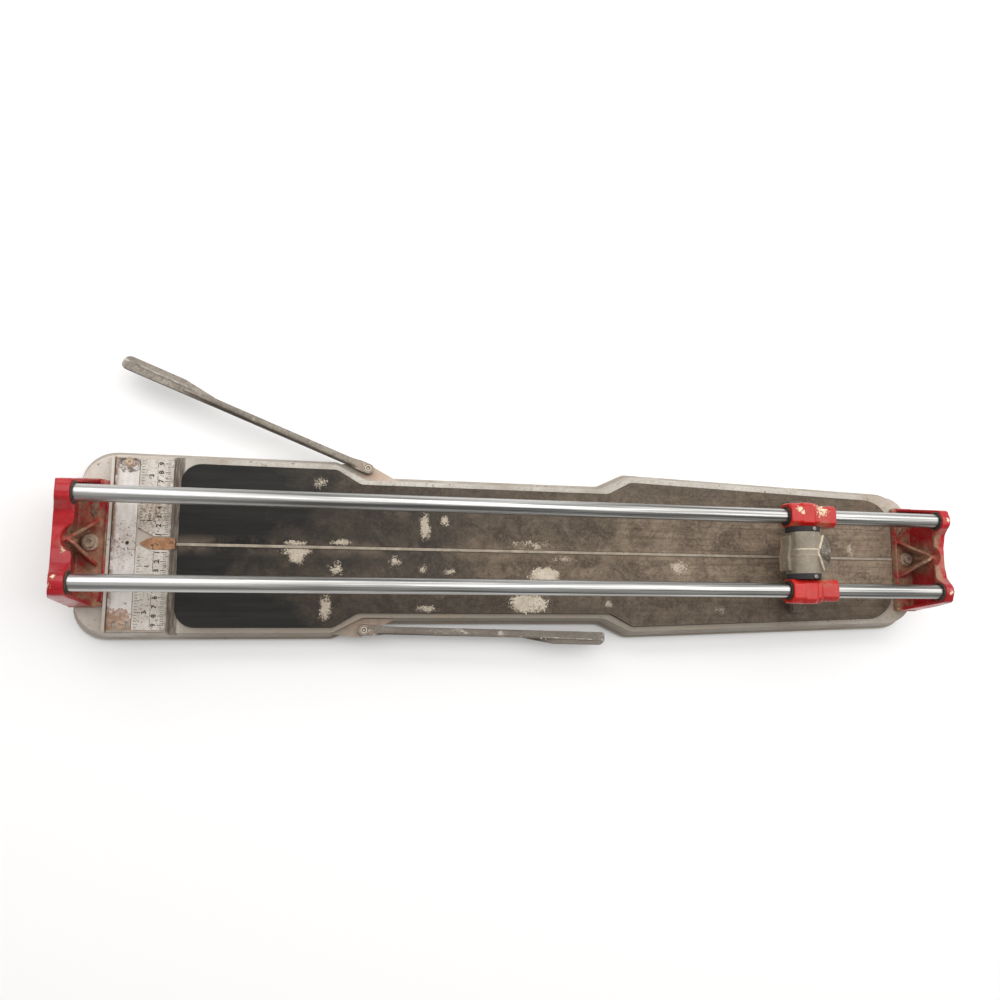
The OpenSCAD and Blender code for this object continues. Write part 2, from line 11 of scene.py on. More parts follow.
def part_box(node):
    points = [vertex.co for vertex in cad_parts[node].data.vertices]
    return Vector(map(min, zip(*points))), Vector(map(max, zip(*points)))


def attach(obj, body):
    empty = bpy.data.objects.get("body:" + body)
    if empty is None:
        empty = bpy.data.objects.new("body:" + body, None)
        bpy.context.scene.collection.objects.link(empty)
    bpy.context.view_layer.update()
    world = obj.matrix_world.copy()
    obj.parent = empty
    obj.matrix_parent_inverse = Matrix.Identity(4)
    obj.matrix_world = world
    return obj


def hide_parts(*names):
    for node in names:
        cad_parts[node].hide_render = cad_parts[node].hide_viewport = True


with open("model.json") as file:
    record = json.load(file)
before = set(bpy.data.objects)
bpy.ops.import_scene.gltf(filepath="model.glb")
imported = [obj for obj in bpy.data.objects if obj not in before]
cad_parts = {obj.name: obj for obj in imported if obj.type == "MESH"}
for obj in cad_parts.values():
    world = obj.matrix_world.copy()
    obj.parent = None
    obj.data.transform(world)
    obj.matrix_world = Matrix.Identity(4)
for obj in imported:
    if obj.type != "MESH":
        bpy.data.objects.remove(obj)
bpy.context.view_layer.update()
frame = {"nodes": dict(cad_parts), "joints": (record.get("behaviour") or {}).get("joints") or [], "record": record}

NODES = frame["nodes"]
BODY_OF = {n: b for b, ns in frame["record"]["behaviour"]["bodies"].items() for n in ns}
SLOT_OF = {s["node"]: s["material_slot"] for s in frame["record"]["subparts"]}
MM = 0.001
INCH = 0.0254


# ---------- colours and shader helper ----------

def rgb(r, g, b):
    """An sRGB colour, 0 to 255, as linear."""
    def one(v):
        v /= 255
        return v / 12.92 if v <= 0.04045 else ((v + 0.055) / 1.055) ** 2.4
    return (one(r), one(g), one(b), 1.0)


class Shader:
    """A node material built up from masks and colour layers, in the shared frame's metres."""

    def __init__(self, name, metal=0.0, specular=0.5, coat=0.0):
        self.mat = bpy.data.materials.new(name)
        self.mat.use_nodes = True
        self.tree = self.mat.node_tree
        self.tree.nodes.clear()
        out = self.node("ShaderNodeOutputMaterial")
        self.bsdf = self.node("ShaderNodeBsdfPrincipled")
        self.link(self.bsdf.outputs["BSDF"], out.inputs["Surface"])
        self.place = self.node("ShaderNodeTexCoord").outputs["Object"]
        self.xyz = None
        self.seed = sum(ord(c) for c in name) * 0.37 % 50
        self.bsdf.inputs["Metallic"].default_value = metal
        self.bsdf.inputs["Specular IOR Level"].default_value = specular
        self.bsdf.inputs["Coat Weight"].default_value = coat
        self.bsdf.inputs["Coat Roughness"].default_value = 0.12
        self.height = None

    def node(self, kind, **settings):
        n = self.tree.nodes.new(kind)
        for k, v in settings.items():
            setattr(n, k, v)
        return n

    def link(self, a, b):
        self.tree.links.new(a, b)

    def put(self, socket, value):
        if isinstance(value, bpy.types.NodeSocket):
            self.link(value, socket)
        else:
            socket.default_value = value

    def axis(self, i):
        if self.xyz is None:
            self.xyz = self.node("ShaderNodeSeparateXYZ")
            self.link(self.place, self.xyz.inputs[0])
        return self.xyz.outputs[i]

    def noise(self, scale, detail=4.0, rough=0.55, stretch=(1, 1, 1), warp=0.0):
        """Noise with features 1/scale metres across. A stretch above 1 packs them closer on that axis."""
        self.seed += 3.1
        m = self.node("ShaderNodeMapping")
        m.inputs["Location"].default_value = (self.seed, self.seed * 0.7, self.seed * 1.3)
        m.inputs["Scale"].default_value = [scale * s for s in stretch]
        self.link(self.place, m.inputs["Vector"])
        n = self.node("ShaderNodeTexNoise")
        n.inputs["Scale"].default_value = 1.0
        n.inputs["Detail"].default_value = detail
        n.inputs["Roughness"].default_value = rough
        n.inputs["Distortion"].default_value = warp
        self.link(m.outputs[0], n.inputs["Vector"])
        return n.outputs["Fac"]

    def span(self, value, lo, hi, a=0.0, b=1.0):
        n = self.node("ShaderNodeMapRange")
        n.inputs["From Min"].default_value = lo
        n.inputs["From Max"].default_value = hi
        n.inputs["To Min"].default_value = a
        n.inputs["To Max"].default_value = b
        self.link(value, n.inputs["Value"])
        return n.outputs["Result"]

    def calc(self, how, a, b=0.0):
        n = self.node("ShaderNodeMath", operation=how)
        self.put(n.inputs[0], a)
        self.put(n.inputs[1], b)
        return n.outputs[0]

    def mix(self, mask, a, b):
        n = self.node("ShaderNodeMix", data_type="RGBA")
        self.put(n.inputs["Factor"], mask)
        self.put(n.inputs[6], a)
        self.put(n.inputs[7], b)
        return n.outputs[2]

    def near(self, point, inner, outer):
        """1 within inner of a point given in metres, falling to 0 at outer."""
        n = self.node("ShaderNodeVectorMath", operation="DISTANCE")
        self.link(self.place, n.inputs[0])
        n.inputs[1].default_value = point
        return self.span(n.outputs["Value"], inner, outer, 1.0, 0.0)

    def within(self, point, radius, ragged=0.0, grain=220):
        """1 inside a patch round a point. Noise makes its edge ragged by up to a given distance."""
        n = self.node("ShaderNodeVectorMath", operation="DISTANCE")
        self.link(self.place, n.inputs[0])
        n.inputs[1].default_value = point
        shift = self.span(self.noise(grain, 6, 0.68), 0.3, 0.7, -ragged, ragged)
        return self.span(self.calc("ADD", n.outputs["Value"], shift), radius, radius + 0.0004, 1.0, 0.0)

    def oval(self, x, y, rx, ry):
        """1 at the middle of an oval seen from above, 0 on its edge and below 0 outside it."""
        move = self.node("ShaderNodeMapping", vector_type="TEXTURE")
        move.inputs["Location"].default_value = (x, y, 0)
        move.inputs["Scale"].default_value = (rx, ry, 1000)
        self.link(self.place, move.inputs["Vector"])
        n = self.node("ShaderNodeVectorMath", operation="LENGTH")
        self.link(move.outputs[0], n.inputs[0])
        return self.calc("SUBTRACT", 1.0, n.outputs["Value"])

    def off(self, i):
        """Distance from the plane through the origin across axis i."""
        return self.calc("ABSOLUTE", self.axis(i))

    def all_of(self, *masks):
        out = masks[0]
        for m in masks[1:]:
            out = self.calc("MULTIPLY", out, m)
        return out

    def any_of(self, *masks):
        out = masks[0]
        for m in masks[1:]:
            out = self.calc("MAXIMUM", out, m)
        return out

    def bump(self, value, depth_mm):
        """Adds value times depth to the surface's height."""
        scaled = self.calc("MULTIPLY", value, depth_mm * MM)
        self.height = scaled if self.height is None else self.calc("ADD", self.height, scaled)

    def done(self, colour, rough):
        self.put(self.bsdf.inputs["Base Color"], colour)
        self.put(self.bsdf.inputs["Roughness"], rough)
        if self.height is not None:
            b = self.node("ShaderNodeBump")
            b.inputs["Strength"].default_value = 1.0
            b.inputs["Distance"].default_value = 1.0
            self.link(self.height, b.inputs["Height"])
            self.link(b.outputs[0], self.bsdf.inputs["Normal"])
        return self.mat


# ---------- materials ----------

bed_low, bed_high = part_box("rear_pad")
bed_len = bed_high.x - bed_low.x
bed_top = bed_high.z
right_low, right_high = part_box("right_stand")
ARMS = ("rear_arm", "front_arm")
SCALE_END = (-0.44, -0.41)  # along X, where the base's scale end fades out
CARRIAGE_END = (0.46, 0.51)  # along X, where its other end fades in
FRONT_SIDE = (-0.045, -0.075)  # along Y, where the painted shade of its front side fades in
RIM_TOP = 0.032  # height of the base's rim
WEAR_FROM, WEAR_TO = -0.34, 0.34  # along X, from fresh rubber to worn
FORK_COS, FORK_SIN = 0.906, 0.4226  # of the 25 degrees that the head's two fork ribs lean


def along_bed(share):
    return bed_low.x + share * bed_len


# each (share of the bed's length, y, half length, half width, amount)
splashes = [
    (0.138, -0.0050, 0.0190, 0.0055, 0.50), (0.140, -0.0110, 0.0105, 0.0090, 0.50),
    (0.138, 0.0040, 0.0140, 0.0030, 0.30),
    (0.194, 0.0060, 0.0130, 0.0040, 0.30), (0.301, 0.0275, 0.0072, 0.0165, 0.42),
    (0.327, 0.0350, 0.0060, 0.0062, 0.25), (0.177, -0.0700, 0.0070, 0.0165, 0.42),
    (0.306, -0.0705, 0.0130, 0.0052, 0.18), (0.463, -0.0285, 0.0195, 0.0095, 0.95),
    (0.441, -0.0640, 0.0235, 0.0115, 0.95), (0.554, -0.0630, 0.0065, 0.0044, 0.22),
    (0.657, -0.0160, 0.0145, 0.0095, -0.02), (0.189, -0.0240, 0.0085, 0.0080, 0.02),
    (0.263, -0.0150, 0.0080, 0.0070, 0.02), (0.335, -0.0260, 0.0070, 0.0050, -0.05),
    (0.299, -0.0230, 0.0060, 0.0050, 0.0), (0.167, 0.0760, 0.0080, 0.0070, 0.02),
    (0.446, 0.0080, 0.0280, 0.0080, -0.22), (0.490, -0.0080, 0.0150, 0.0060, -0.22),
    (0.930, 0.0120, 0.0060, 0.0120, -0.20), (0.720, -0.0700, 0.0120, 0.0060, -0.02),
]


def cast_base():
    s = Shader("cast_base", specular=0.35)
    broad = s.noise(16, 6, 0.6)
    c = s.mix(s.span(broad, 0.35, 0.65), rgb(174, 167, 156), rgb(208, 203, 193))
    fine = s.span(s.noise(260, 6, 0.72), 0.52, 0.66, 0, 0.5)
    c = s.mix(fine, c, rgb(150, 138, 125))
    c = s.mix(s.span(s.noise(420, 2), 0.3, 0.7, 0, 0.3), c, rgb(160, 150, 139))
    # painted shade: the base's front side darker, as if lit from behind
    front = s.span(s.axis(1), *FRONT_SIDE)
    front = s.all_of(front, s.span(s.axis(0), bed_low.x - 0.01, bed_low.x + 0.03))
    c = s.mix(s.all_of(front, s.span(s.axis(0), 0.36, 0.46, 0.85, 0.45)), c, rgb(136, 125, 112))
    # painted highlight: a light line along the top edge of the front rim
    lip = s.all_of(front, s.span(s.axis(2), RIM_TOP - 0.0014, RIM_TOP - 0.0008),
                   s.span(s.axis(2), RIM_TOP - 0.0004, RIM_TOP - 0.0001, 1, 0))
    c = s.mix(s.calc("MULTIPLY", lip, 0.6), c, rgb(196, 188, 176))
    notch = s.oval(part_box("rear_scale_plate")[0].x + 0.0075, 0.008, 0.012, 0.012)
    c = s.mix(s.span(notch, 0.0, 0.1, 0, 0.8), c, rgb(136, 127, 116))
    clay = s.noise(13, 8, 0.68, warp=0.5)
    c = s.mix(s.span(clay, 0.53, 0.63, 0, 0.5), c, rgb(158, 139, 120))
    scale_end = s.span(s.axis(0), *SCALE_END, 1, 0)
    c = s.mix(s.calc("MULTIPLY", scale_end, 0.55), c, rgb(212, 205, 196))
    ends = s.any_of(scale_end, s.span(s.axis(0), *CARRIAGE_END))
    c = s.mix(s.all_of(ends, s.span(s.noise(30, 7, 0.68), 0.44, 0.60, 0, 0.45)), c, rgb(172, 148, 128))
    # a dark strip beside the shelf at the pads' left end: dirt and painted shade from the shelf
    strip = s.all_of(s.span(s.axis(0), bed_low.x - 0.0092, bed_low.x - 0.0065),
                     s.span(s.axis(0), bed_low.x + 0.002, bed_low.x + 0.003, 1, 0))
    streak = s.span(s.noise(150, 6, 0.65, stretch=(3, 0.35, 1)), 0.34, 0.58, 0.45, 0.9)
    c = s.mix(s.all_of(strip, streak, s.span(s.axis(2), 0.016, 0.027)), c, rgb(80, 66, 54))
    # the pocket round the pads, darkened below as painted shade
    pocket = s.span(s.axis(2), bed_high.z - 0.0038, bed_high.z - 0.0033, 1, 0)
    inside = s.all_of(pocket, s.span(s.axis(2), bed_low.z - 0.001, bed_low.z - 0.0005))
    specks = s.span(s.noise(240, 4, 0.62), 0.62, 0.68)
    c = s.mix(s.all_of(specks, s.span(broad, 0.38, 0.6, 0.3, 0.9)), c, rgb(96, 82, 70))
    for j in frame["joints"]:
        if j["child"] in ARMS:
            x, y = j["pos_m"][:2]
            lug = s.all_of(s.near((x + 0.010, y, RIM_TOP - 0.007), 0.010, 0.036),
                           s.span(s.axis(2), RIM_TOP - 0.0035, RIM_TOP - 0.0055))
            lug = s.all_of(lug, s.span(s.noise(110, 6, 0.7), 0.36, 0.58, 0.3, 0.95))
            c = s.mix(lug, c, rgb(202, 172, 150))
    # painted shade: the base's sides darker below the rim
    wall_shade = s.span(s.axis(2), 0.012, RIM_TOP - 0.0005, 1, 0)
    wall_shade = s.all_of(wall_shade, s.span(s.noise(30, 5, stretch=(1, 1, 3)), 0.3, 0.7, 0.25, 0.75))
    c = s.mix(wall_shade, c, rgb(146, 136, 124))
    # painted shade in the pocket round the pads
    c = s.mix(s.all_of(inside, s.span(s.axis(0), bed_low.x - 0.001, bed_low.x), 0.55), c, rgb(104, 90, 78))
    s.bump(s.noise(300, 3), 0.10)
    s.bump(specks, -0.10)
    return s.done(c, s.span(clay, 0.4, 0.65, 0.45, 0.8))


def bed_rubber():
    s = Shader("bed_rubber", specular=0.3)
    streak = s.noise(60, 5, 0.62, stretch=(0.12, 2.2, 1))
    patchy = s.noise(10, 7, 0.64, stretch=(0.8, 1.2, 1), warp=0.4)
    worn = s.calc("ADD", s.axis(0), s.span(patchy, 0.3, 0.7, -0.12, 0.12))
    worn = s.span(worn, WEAR_FROM, WEAR_TO)
    fresh = s.mix(s.span(streak, 0.35, 0.65), rgb(29, 29, 28), rgb(42, 40, 38))
    mottle = s.noise(30, 8, 0.78, warp=0.8)
    old = s.mix(s.span(mottle, 0.40, 0.60), rgb(104, 88, 73), rgb(172, 152, 130))
    old = s.mix(s.span(streak, 0.40, 0.70, 0, 0.35), old, rgb(104, 92, 80))
    old = s.mix(s.span(s.noise(22, 8, 0.76, warp=0.8), 0.50, 0.62, 0, 0.6), old, rgb(86, 73, 62))
    c = s.mix(worn, fresh, old)
    grit = s.noise(320, 6, 0.72)
    far = s.span(s.axis(0), 0.10, 0.40, 0.40, 0.65)
    c = s.mix(s.all_of(worn, far, s.span(grit, 0.46, 0.60)), c, rgb(156, 141, 122))
    pits = s.all_of(s.span(worn, 0.1, 0.5), s.span(s.noise(260, 5, 0.7), 0.55, 0.64, 0, 0.6))
    c = s.mix(pits, c, rgb(74, 63, 53))
    lines = s.span(s.noise(70, 6, 0.72, stretch=(0.12, 2.6, 1)), 0.48, 0.58, 0, 0.5)
    c = s.mix(s.all_of(worn, lines), c, rgb(86, 73, 62))
    stains = s.all_of(s.span(s.axis(0), bed_high.x - 0.15, bed_high.x - 0.03),
                      s.span(s.noise(26, 7, 0.7, warp=0.4), 0.48, 0.60, 0, 0.55))
    c = s.mix(stains, c, rgb(160, 138, 116))
    cream = s.all_of(worn, s.span(s.noise(40, 8, 0.76), 0.57, 0.66, 0, 0.6),
                     s.span(s.noise(420, 5, 0.7), 0.42, 0.56))
    c = s.mix(cream, c, rgb(172, 158, 138))
    dust = None
    for share, y, rx, ry, amount in splashes:
        one = s.calc("MULTIPLY", s.oval(along_bed(share), y, rx * 1.25, ry * 1.25), 0.75 + amount)
        dust = one if dust is None else s.calc("MAXIMUM", dust, one)
    cloud = s.span(s.noise(130, 5, 0.7), 0.3, 0.7, -0.35, 0.35)
    dust = s.span(s.calc("ADD", dust, cloud), 0.05, 1.0, 0.0, 0.30)
    speck = s.span(s.calc("ADD", s.noise(560, 6, 0.78), dust), 0.60, 0.67)
    c = s.mix(s.all_of(s.calc("MULTIPLY", speck, 0.85), s.span(dust, 0.0, 0.05)), c, rgb(208, 194, 174))
    c = s.mix(s.all_of(worn, s.span(s.off(1), 0.046, 0.060, 0, 0.62)), c, rgb(62, 54, 46))
    edge = s.span(s.off(1), 0.003, 0.013, 1, 0)
    c = s.mix(s.all_of(edge, s.span(s.noise(26, 6, 0.66), 0.44, 0.62, 0, 0.6)), c, rgb(126, 110, 94))
    s.bump(mottle, 0.2)
    s.bump(grit, 0.08)
    return s.done(c, s.span(patchy, 0.3, 0.7, 0.62, 0.9))


def rail_steel():
    s = Shader("polished_rail", metal=1.0)
    rail_z = (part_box("rear_rail")[1].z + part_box("rear_rail")[0].z) / 2
    fine = s.noise(500, 2, 0.5, stretch=(0.008, 1, 1))
    c = s.mix(s.span(fine, 0.40, 0.58), rgb(120, 120, 118), rgb(204, 204, 202))
    # painted reflection: the rails brighter towards the left end
    left_end_sheen = s.span(s.axis(0), -0.26, -0.42)
    c = s.mix(s.calc("MULTIPLY", left_end_sheen, 0.55), c, rgb(222, 222, 220))
    dull = s.span(s.noise(18, 5, 0.6, stretch=(0.5, 2, 2)), 0.45, 0.70, 0, 0.4)
    c = s.mix(dull, c, rgb(152, 148, 142))
    # painted shade: the rails darker below their axis, in streaks, and rougher there
    below = s.span(s.calc("SUBTRACT", s.axis(2), rail_z), 0.0048, 0.0012, 0, 1)
    streak = s.span(s.noise(90, 5, 0.6, stretch=(0.3, 2, 2)), 0.25, 0.65, 0.6, 1.0)
    c = s.mix(s.all_of(below, streak, s.span(left_end_sheen, 0, 1, 1.0, 0.5)), c, rgb(120, 112, 102))
    c = s.mix(s.span(s.noise(380, 4, 0.62, stretch=(0.4, 1, 1)), 0.68, 0.74, 0, 0.35), c, rgb(128, 116, 104))
    return s.done(c, s.calc("ADD", s.span(fine, 0.3, 0.7, 0.29, 0.35), s.calc("MULTIPLY", below, 0.14)))


def red_paint(name, fresh, dark, chip_lo, stand=False, chips_at=(), dust_at=()):
    """Gloss red paint with chips down to the metal, and clay dust on a stand's foot and middle."""
    s = Shader(name, specular=0.3, coat=0.12)
    c = s.mix(s.span(s.noise(22, 5, 0.6), 0.35, 0.65), dark, fresh)
    c = s.mix(s.span(s.noise(140, 4, 0.6), 0.58, 0.72, 0, 0.2), c, rgb(204, 84, 78))
    chips = s.span(s.noise(260, 5, 0.66, stretch=(1, 0.35, 1), warp=0.3), chip_lo, chip_lo + 0.015)
    for point, radius in chips_at:
        chips = s.any_of(chips, s.within(point, radius, radius * 1.4, 380))
    c = s.mix(chips, c, rgb(228, 206, 172))
    rough = s.span(s.noise(60, 4), 0.3, 0.7, 0.16, 0.40)
    clay = s.mix(s.span(s.noise(70, 7, 0.68), 0.35, 0.65), rgb(124, 90, 70), rgb(176, 138, 110))
    clay = s.mix(s.span(s.noise(210, 5, 0.7), 0.56, 0.66, 0, 0.6), clay, rgb(206, 178, 154))
    if stand:
        lift = s.calc("ADD", s.axis(2), s.span(s.noise(46, 7, 0.7), 0.3, 0.7, -0.014, 0.014))
        low = s.span(lift, 0.036, 0.046, 1, 0)
        middle = s.all_of(s.span(s.off(1), 0.012, 0.026, 1, 0), s.span(lift, 0.078, 0.100, 1, 0))
        inner = s.all_of(s.span(s.axis(0), right_high.x - 0.0110, right_high.x - 0.0145),
                         s.span(s.axis(0), 0.0, 0.1))
        inner = s.all_of(inner, s.span(s.off(1), 0.026, 0.036, 1, 0), s.span(s.axis(2), 0.06, 0.07))
        dust = s.any_of(low, middle, inner)
        dust = s.all_of(dust, s.span(s.noise(95, 6, 0.72), 0.30, 0.50, 0.45, 1.0))
        c = s.mix(dust, c, clay)
        rough = s.calc("MAXIMUM", rough, s.calc("MULTIPLY", dust, 0.9))
        s.bump(s.calc("MULTIPLY", dust, s.noise(260, 5, 0.7)), 0.5)
    for point, inner, outer in dust_at:
        worn = s.all_of(s.near(point, inner, outer), s.span(s.noise(190, 6, 0.7), 0.36, 0.60))
        c = s.mix(s.calc("MULTIPLY", worn, 0.85), c, rgb(150, 116, 84))
    film = s.span(s.noise(34, 7, 0.66), 0.52, 0.70, 0, 0.18)
    c = s.mix(film, c, rgb(176, 104, 90))
    s.bump(chips, -0.12)
    s.bump(s.noise(130, 3), 0.10)
    return s.done(c, rough)


def plated_bar():
    s = Shader("plated_bar", specular=0.45)
    c = s.mix(s.span(s.noise(34, 6, 0.6), 0.35, 0.65), rgb(196, 189, 182), rgb(228, 224, 219))
    c = s.mix(s.span(s.noise(500, 3, stretch=(1, 0.1, 1)), 0.4, 0.7, 0, 0.35), c, rgb(178, 170, 161))
    low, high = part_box("fence_bar")
    pits = s.noise(420, 5, 0.68)
    hole = next(m for m in frame["record"]["mounts"] if m["name"] == "fence_hole")["pos_m"]
    middle = s.all_of(s.near(hole, 0.004, 0.036), s.span(pits, 0.555, 0.59))
    ring = s.all_of(s.within((low.x + 0.014, high.y - 0.005, high.z), 0.0125, 0.003, 160),
                    s.span(s.noise(150, 5, 0.66), 0.40, 0.50))
    thin = s.span(pits, 0.655, 0.69)
    rust = s.any_of(middle, thin)
    c = s.mix(rust, c, rgb(84, 62, 48))
    c = s.mix(s.calc("MULTIPLY", ring, 0.85), c, rgb(74, 54, 42))
    stain = s.all_of(s.near(hole, 0.002, 0.024), s.span(s.noise(90, 6, 0.68), 0.42, 0.60, 0, 0.5))
    c = s.mix(stain, c, rgb(150, 122, 98))
    corner = s.within((low.x + 0.010, low.y, high.z), 0.024, 0.012, 110)
    corner = s.calc("MULTIPLY", corner, s.span(s.noise(160, 6, 0.68), 0.32, 0.55, 0.35, 0.95))
    c = s.mix(corner, c, rgb(152, 116, 90))
    side = s.all_of(s.span(s.axis(0), low.x + 0.0045, low.x + 0.001),
                    s.span(s.noise(120, 6, 0.7), 0.40, 0.55))
    c = s.mix(side, c, rgb(126, 92, 70))
    s.bump(rust, -0.15)
    return s.done(c, s.span(s.noise(80, 4), 0.3, 0.7, 0.35, 0.6))


def scale_metal():
    s = Shader("scale_metal", specular=0.4)
    c = s.mix(s.span(s.noise(34, 6, 0.62), 0.35, 0.65), rgb(186, 178, 168), rgb(216, 210, 201))
    c = s.mix(s.span(s.noise(360, 3, 0.6), 0.45, 0.70, 0, 0.45), c, rgb(156, 145, 133))
    low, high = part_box("rear_scale_plate")
    spots = s.noise(330, 6, 0.72)
    dirt = s.calc("MULTIPLY", s.span(spots, 0.56, 0.62), s.span(s.noise(40, 5, 0.6), 0.35, 0.55, 0.25, 0.9))
    patch_at = (low.x + 0.014, low.y + 0.026, high.z)
    patch = s.all_of(s.near(patch_at, 0.004, 0.026), s.span(spots, 0.48, 0.54))
    dirt = s.any_of(dirt, s.calc("MULTIPLY", patch, 0.9))
    c = s.mix(dirt, c, rgb(98, 80, 64))
    brown = s.all_of(s.near(patch_at, 0.004, 0.026), s.span(s.noise(90, 6, 0.7), 0.40, 0.60, 0, 0.55))
    c = s.mix(brown, c, rgb(164, 138, 112))
    edge = s.span(s.axis(0), high.x - 0.004, high.x + 0.001)
    c = s.mix(s.calc("MULTIPLY", edge, s.span(s.noise(120, 5), 0.35, 0.6)), c, rgb(122, 104, 88))
    s.bump(s.noise(420, 3), 0.04)
    return s.done(c, s.span(dirt, 0, 1, 0.5, 0.85))


def earthy(name, a, b, spot, spot_lo=0.58, scale=90, metal=0.0, rough=(0.6, 0.9), depth=0.25):
    """A mottled, gritty finish: two shades, with spots of a third."""
    s = Shader(name, metal=metal, specular=0.35)
    n = s.noise(scale, 7, 0.68, warp=0.3)
    c = s.mix(s.span(n, 0.35, 0.65), a, b)
    dots = s.span(s.noise(scale * 3.2, 5, 0.65), spot_lo, spot_lo + 0.06)
    c = s.mix(dots, c, spot)
    s.bump(n, depth)
    s.bump(dots, -depth * 0.4)
    return s.done(c, s.span(n, 0.3, 0.7, *rough))


def arm_metal():
    s = Shader("arm_metal", specular=0.35)
    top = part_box("rear_arm")[1].z
    n = s.noise(28, 7, 0.66, warp=0.3)
    c = s.mix(s.span(n, 0.33, 0.67), rgb(122, 113, 102), rgb(160, 151, 140))
    c = s.mix(s.span(s.noise(420, 4, 0.65), 0.46, 0.62, 0, 0.6), c, rgb(98, 88, 78))
    pivots = [j["pos_m"] for j in frame["joints"] if j["child"] in ARMS]
    by_pivot = s.any_of(*[s.near((p[0], p[1], top), 0.005, 0.022) for p in pivots])
    c = s.mix(s.all_of(by_pivot, s.span(s.noise(90, 6, 0.7), 0.40, 0.60, 0, 0.6)), c, rgb(180, 152, 130))
    c = s.mix(s.span(s.axis(1), -0.05, -0.06, 0, 0.5), c, rgb(98, 90, 81))
    # painted highlight on the raised ridge along the paddle
    ridge_highlight = s.span(s.axis(2), top + 0.00002, top + 0.0003)
    c = s.mix(s.calc("MULTIPLY", ridge_highlight, 0.9), c, rgb(228, 223, 214))
    scrape = s.span(s.noise(90, 6, 0.72, stretch=(0.6, 1.4, 1)), 0.60, 0.66, 0, 0.7)
    c = s.mix(scrape, c, rgb(206, 197, 184))
    # painted shade on the arm's lowered edge and sides
    side = s.span(s.axis(2), top - 0.0040, top - 0.0016, 1, 0)
    c = s.mix(s.calc("MULTIPLY", side, 0.85), c, rgb(66, 58, 51))
    s.bump(s.noise(380, 4, 0.6), 0.12)
    return s.done(c, s.span(n, 0.3, 0.7, 0.42, 0.7))


def grey_casting():
    s = Shader("grey_casting", specular=0.45)
    tilt = next(j for j in frame["joints"] if j["child"] == "head")["pos_m"]
    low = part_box("carriage_body")[0]
    n = s.noise(46, 6, 0.62)
    c = s.mix(s.span(n, 0.35, 0.65), rgb(120, 110, 95), rgb(148, 137, 120))
    c = s.mix(s.span(s.noise(520, 4, 0.7), 0.54, 0.64, 0, 0.45), c, rgb(108, 100, 90))
    across = s.off(1)
    up = s.span(s.axis(2), tilt[2] + 0.010, tilt[2] + 0.014)
    band = s.all_of(s.span(across, 0.0029, 0.0035), s.span(across, 0.0046, 0.0052, 1, 0), up)
    band = s.all_of(band, s.span(s.axis(0), tilt[0] + 0.010, tilt[0] + 0.012, 1, 0))
    lean = s.calc("SUBTRACT", s.calc("MULTIPLY", s.calc("SUBTRACT", s.axis(0), tilt[0] + 0.008), FORK_COS),
                  s.calc("MULTIPLY", s.calc("SUBTRACT", across, 0.0026), FORK_SIN))
    fork = s.all_of(s.span(s.calc("ABSOLUTE", lean), 0.0012, 0.0019, 1, 0),
                    s.span(across, 0.020, 0.022, 1, 0), up)
    # painted highlights along the raised band and the fork ribs
    lines = s.all_of(s.any_of(band, fork), s.span(s.noise(140, 5, 0.66), 0.30, 0.52, 0.35, 1))
    c = s.mix(s.calc("MULTIPLY", lines, 0.9), c, rgb(206, 192, 168))
    c = s.mix(s.span(s.noise(430, 3, 0.7), 0.65, 0.70, 0, 0.8), c, rgb(196, 188, 174))
    beyond = s.span(lean, 0.0016, 0.0026)
    tip = s.all_of(beyond, s.span(s.noise(330, 5, 0.74), 0.38, 0.58, 0.55, 1.0))
    c = s.mix(tip, c, rgb(84, 75, 65))
    c = s.mix(s.all_of(beyond, s.span(s.noise(620, 5, 0.76), 0.56, 0.62, 0, 0.9)), c, rgb(176, 166, 150))
    # painted shade: the skirt darker, as a flank turned from the light
    rust = s.all_of(s.span(s.axis(0), tilt[0] - 0.0175, tilt[0] - 0.0205),
                    s.span(s.noise(90, 6, 0.7), 0.40, 0.60, 0, 0.5))
    c = s.mix(rust, c, rgb(126, 112, 96))
    lip = s.all_of(s.span(s.axis(0), tilt[0] - 0.0185, tilt[0] - 0.0195),
                   s.span(s.axis(2), tilt[2] - 0.0130, tilt[2] - 0.0160),
                   s.span(s.noise(120, 5, 0.7), 0.38, 0.52, 0.2, 0.9))
    c = s.mix(lip, c, rgb(184, 150, 126))
    cream = s.within((low.x + 0.0075, low.y + 0.011, tilt[2] - 0.006), 0.0046, 0.0025, 200)
    cream = s.all_of(cream, s.span(s.noise(300, 5, 0.7), 0.36, 0.46))
    c = s.mix(cream, c, rgb(206, 190, 166))
    s.bump(s.noise(420, 4, 0.65), 0.22)
    return s.done(c, s.span(n, 0.3, 0.7, 0.30, 0.50))


def ring_finish(name, a, b, centres, pitch):
    """Worn steel with rings round each centre, as on a turned screw head."""
    s = Shader(name, metal=0.35, specular=0.4)
    flat = s.node("ShaderNodeVectorMath", operation="MULTIPLY")
    s.link(s.place, flat.inputs[0])
    flat.inputs[1].default_value = (1, 1, 0)
    least = None
    for x, y in centres:
        d = s.node("ShaderNodeVectorMath", operation="DISTANCE")
        s.link(flat.outputs[0], d.inputs[0])
        d.inputs[1].default_value = (x, y, 0)
        least = d.outputs["Value"] if least is None else s.calc("MINIMUM", least, d.outputs["Value"])
    ring = s.calc("SINE", s.calc("MULTIPLY", least, 2 * math.pi / pitch))
    c = s.mix(s.span(ring, -0.5, 0.6), a, b)
    c = s.mix(s.span(s.noise(240, 6, 0.7), 0.52, 0.64, 0, 0.7), c, rgb(110, 96, 84))
    s.bump(ring, 0.05)
    s.bump(s.noise(400, 4), 0.08)
    return s.done(c, s.span(s.noise(90, 4), 0.3, 0.7, 0.4, 0.7))


